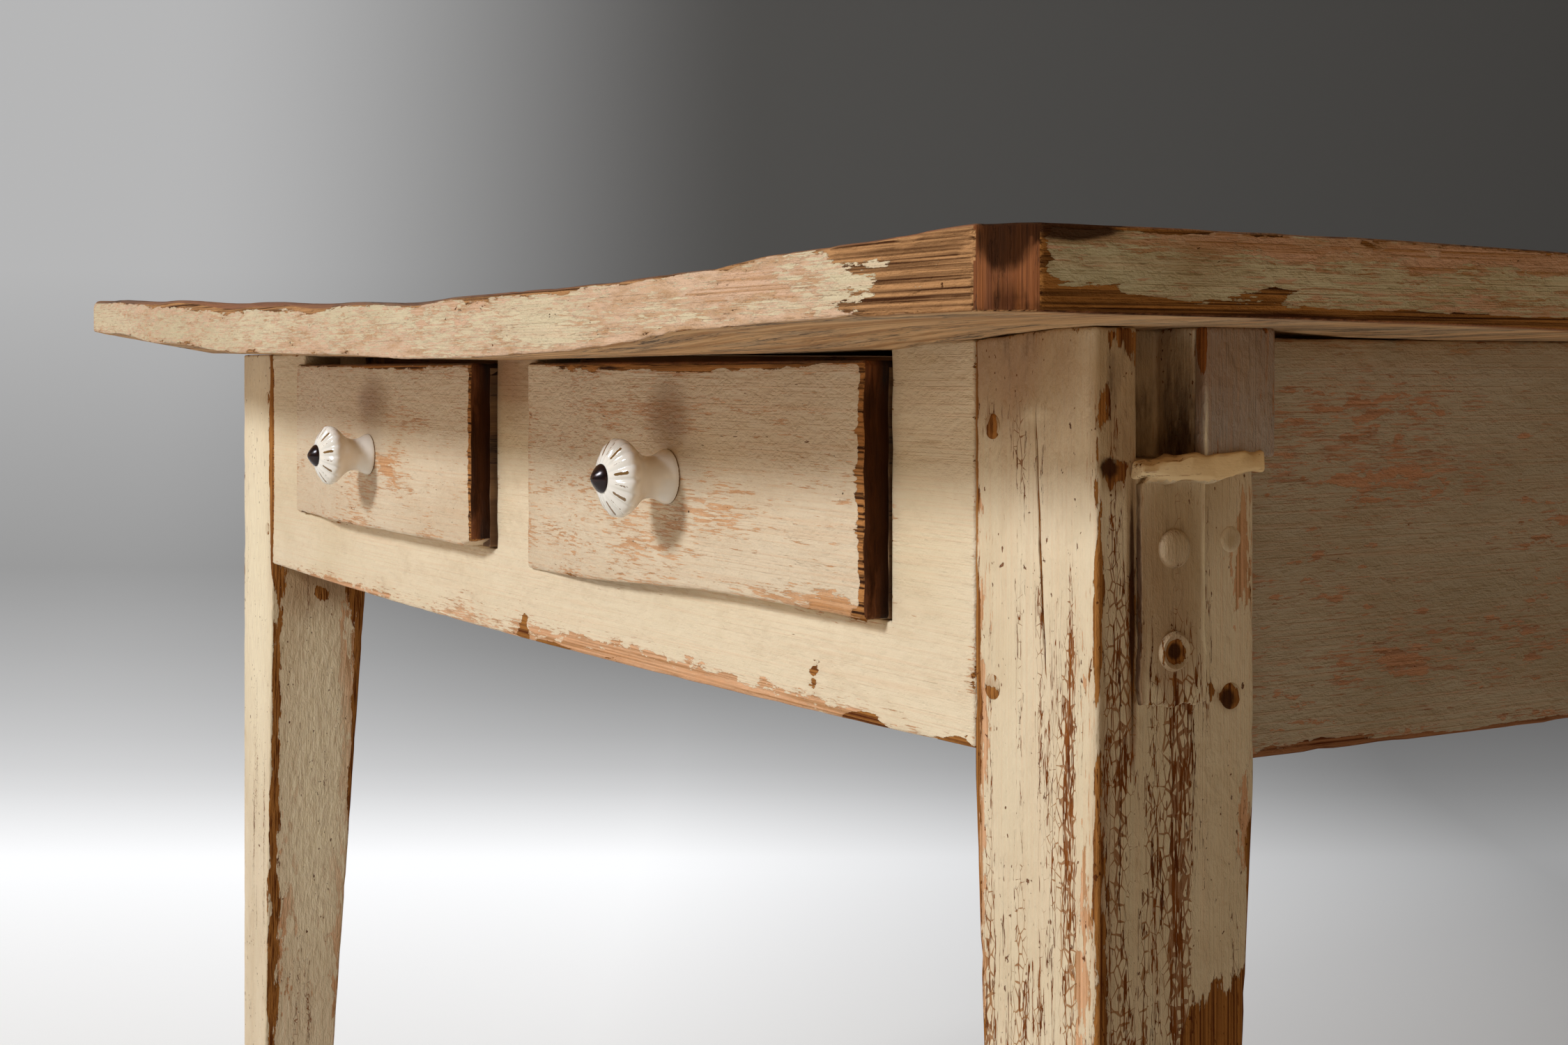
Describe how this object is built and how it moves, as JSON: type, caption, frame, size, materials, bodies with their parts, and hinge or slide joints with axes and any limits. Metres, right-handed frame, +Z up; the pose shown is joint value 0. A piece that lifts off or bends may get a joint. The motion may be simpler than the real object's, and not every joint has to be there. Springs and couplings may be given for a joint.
{
  "type": "kitchen table",
  "caption": "Painted country kitchen table with a thick overhanging plank top, tapered square legs and side-by-side drawers on porcelain knobs.",
  "frame": {"origin": "on the floor under the middle of the top", "axes": "+Z up, +X along the length to the right as seen from the drawers' side, drawers face and open towards -Y"},
  "size_m": [1.264, 1.03, 0.76],
  "materials": {
    "cream_paint": "old cream oil paint over pine, brushed, worn and crackled",
    "top_paint": "cream paint worn to salmon undercoat and bare brown wood on the arrises",
    "drawer_paint": "greyer cream paint with salmon rubbed through",
    "raw_pine": "unpainted aged pine",
    "painted_iron": "wrought iron painted over with the table",
    "iron": "dull old iron",
    "china": "white glazed porcelain with thin brown-gold rays",
    "dark_button": "dark brown domed bolt head"
  },
  "bodies": {
    "table": {"top_front_plank": "top_paint", "top_middle_plank": "top_paint", "top_back_plank": "top_paint", "top_batten_left": "raw_pine", "top_batten_right": "raw_pine", "runner_left": "raw_pine", "runner_centre": "raw_pine", "runner_right": "raw_pine", "guide_left": "raw_pine", "guide_centre": "raw_pine", "guide_right": "raw_pine", "drawer_stops": "raw_pine", "leg_front_left": "cream_paint", "leg_front_right": "cream_paint", "leg_back_left": "cream_paint", "leg_back_right": "cream_paint", "front_apron": "cream_paint", "back_apron": "cream_paint", "side_apron_left": "cream_paint", "side_apron_right": "cream_paint", "corner_block": "cream_paint", "side_bracket": "painted_iron", "bracket_screws": "painted_iron", "batten_screws": "iron", "front_pegs": "cream_paint", "back_pegs": "cream_paint", "side_pegs": "cream_paint", "top_pegs": "top_paint"},
    "left_drawer": {"left_drawer_front": "drawer_paint", "left_drawer_outer_side": "raw_pine", "left_drawer_inner_side": "raw_pine", "left_drawer_back": "raw_pine", "left_drawer_bottom": "raw_pine", "left_drawer_nails": "iron", "left_knob": "china", "left_knob_bolt": "dark_button", "left_knob_nut": "iron"},
    "right_drawer": {"right_drawer_front": "drawer_paint", "right_drawer_outer_side": "raw_pine", "right_drawer_inner_side": "raw_pine", "right_drawer_back": "raw_pine", "right_drawer_bottom": "raw_pine", "right_drawer_nails": "iron", "right_knob": "china", "right_knob_bolt": "dark_button", "right_knob_nut": "iron"}
  },
  "joints": [
    {"name": "left_drawer_slide", "type": "slide", "parent": "table", "child": "left_drawer", "axis": [0, -1, 0], "range_m": [0, 0.36]},
    {"name": "right_drawer_slide", "type": "slide", "parent": "table", "child": "right_drawer", "axis": [0, -1, 0], "range_m": [0, 0.36]}
  ]
}
